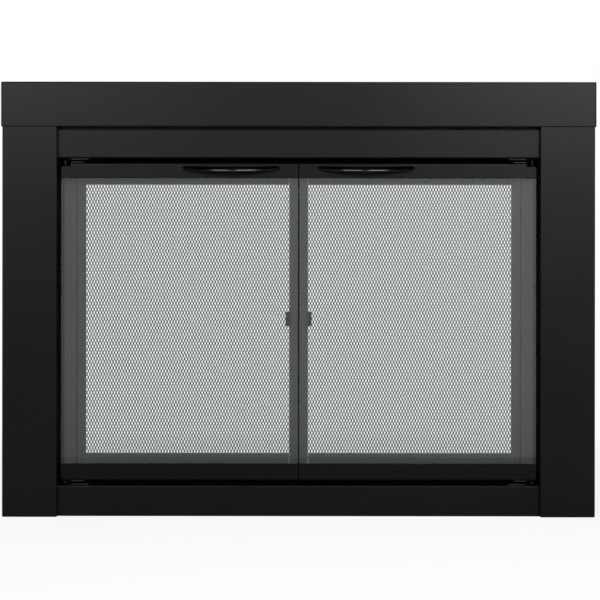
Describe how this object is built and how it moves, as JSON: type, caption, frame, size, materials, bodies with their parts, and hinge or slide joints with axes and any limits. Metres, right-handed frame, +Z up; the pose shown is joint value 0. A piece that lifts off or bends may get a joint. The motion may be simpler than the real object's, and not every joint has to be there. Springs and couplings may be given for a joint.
{
  "type": "fireplace glass door",
  "caption": "Overlap-fit black steel fireplace surround with a pair of hinged glass doors, bow pulls and hinged expanded-mesh doors behind the glass.",
  "frame": {"origin": "middle of the bottom rail's underside, on the hearth", "axes": "+X to the viewer's right along the surround, +Y from the room into the firebox, +Z up"},
  "size_m": [1.1112, 0.2031, 0.8128],
  "materials": {
    "surround_black_paint": "satin black powder coat",
    "door_rail_paint": "satin black powder coat",
    "inner_black_paint": "matt heat-resistant black",
    "mesh_steel": "matt black expanded steel",
    "gloss_black_enamel": "gloss black",
    "dark_steel": "black-oxide steel",
    "zinc_steel": "zinc-plated steel",
    "gasket_fibre": "black glass-fibre tape",
    "magnet_strip": "bonded ferrite",
    "clear_glass": "clear tempered, slightly green-grey"
  },
  "bodies": {
    "surround": {"header_panel": "surround_black_paint", "left_stile_panel": "surround_black_paint", "right_stile_panel": "surround_black_paint", "inner_top_rail": "surround_black_paint", "bottom_rail": "surround_black_paint", "left_jamb": "inner_black_paint", "right_jamb": "inner_black_paint", "upper_left_corner_bracket": "zinc_steel", "upper_right_corner_bracket": "zinc_steel", "lower_left_corner_bracket": "zinc_steel", "lower_right_corner_bracket": "zinc_steel", "upper_left_frame_plate": "dark_steel", "upper_right_frame_plate": "dark_steel", "lower_left_frame_plate": "dark_steel", "lower_right_frame_plate": "dark_steel", "upper_left_hinge_pin": "dark_steel", "upper_right_hinge_pin": "dark_steel", "lower_left_hinge_pin": "dark_steel", "lower_right_hinge_pin": "dark_steel", "left_lintel_strap": "zinc_steel", "right_lintel_strap": "zinc_steel", "left_hearth_bracket": "zinc_steel", "right_hearth_bracket": "zinc_steel", "magnet_catch": "magnet_strip", "upper_left_mesh_bracket": "dark_steel", "upper_right_mesh_bracket": "dark_steel", "lower_left_mesh_bracket": "dark_steel", "lower_right_mesh_bracket": "dark_steel"},
    "left_glass_door": {"left_glass_pane": "clear_glass", "left_door_top_rail": "door_rail_paint", "left_door_bottom_rail": "door_rail_paint", "left_top_gasket": "gasket_fibre", "left_bottom_gasket": "gasket_fibre", "left_bow_handle": "gloss_black_enamel", "upper_left_door_leaf": "dark_steel", "lower_left_door_leaf": "dark_steel"},
    "left_mesh_door": {"left_mesh_hinge_stile": "inner_black_paint", "left_mesh_meeting_stile": "inner_black_paint", "left_mesh_top_bar": "inner_black_paint", "left_mesh_bottom_bar": "inner_black_paint", "left_mesh_net": "mesh_steel", "left_mesh_pull_tab": "dark_steel"},
    "left_clamp": {"left_clamp_screw": "zinc_steel"},
    "right_glass_door": {"right_glass_pane": "clear_glass", "right_door_top_rail": "door_rail_paint", "right_door_bottom_rail": "door_rail_paint", "right_top_gasket": "gasket_fibre", "right_bottom_gasket": "gasket_fibre", "right_bow_handle": "gloss_black_enamel", "upper_right_door_leaf": "dark_steel", "lower_right_door_leaf": "dark_steel"},
    "right_mesh_door": {"right_mesh_hinge_stile": "inner_black_paint", "right_mesh_meeting_stile": "inner_black_paint", "right_mesh_top_bar": "inner_black_paint", "right_mesh_bottom_bar": "inner_black_paint", "right_mesh_net": "mesh_steel", "right_mesh_pull_tab": "dark_steel"},
    "right_clamp": {"right_clamp_screw": "zinc_steel"}
  },
  "joints": [
    {"name": "left_glass_hinge", "type": "hinge", "parent": "surround", "child": "left_glass_door", "pos_m": [-0.43833, -0.008, 0.365], "axis": [0, 0, -1], "range_deg": [0, 100]},
    {"name": "left_mesh_hinge", "type": "hinge", "parent": "surround", "child": "left_mesh_door", "pos_m": [-0.41302, 0.0073, 0.37], "axis": [0, 0, -1], "range_deg": [0, 90]},
    {"name": "left_clamp_slide", "type": "slide", "parent": "surround", "child": "left_clamp", "axis": [0, -1, 0], "range_m": [0, 0.025]},
    {"name": "right_glass_hinge", "type": "hinge", "parent": "surround", "child": "right_glass_door", "pos_m": [0.43833, -0.008, 0.365], "axis": [0, 0, 1], "range_deg": [0, 100]},
    {"name": "right_mesh_hinge", "type": "hinge", "parent": "surround", "child": "right_mesh_door", "pos_m": [0.41302, 0.0073, 0.37], "axis": [0, 0, 1], "range_deg": [0, 90]},
    {"name": "right_clamp_slide", "type": "slide", "parent": "surround", "child": "right_clamp", "axis": [0, -1, 0], "range_m": [0, 0.025]}
  ],
  "couplings": [
    {"joint": "left_mesh_hinge", "follows": "left_glass_hinge", "ratio": 0.9},
    {"joint": "right_mesh_hinge", "follows": "right_glass_hinge", "ratio": 0.9}
  ]
}
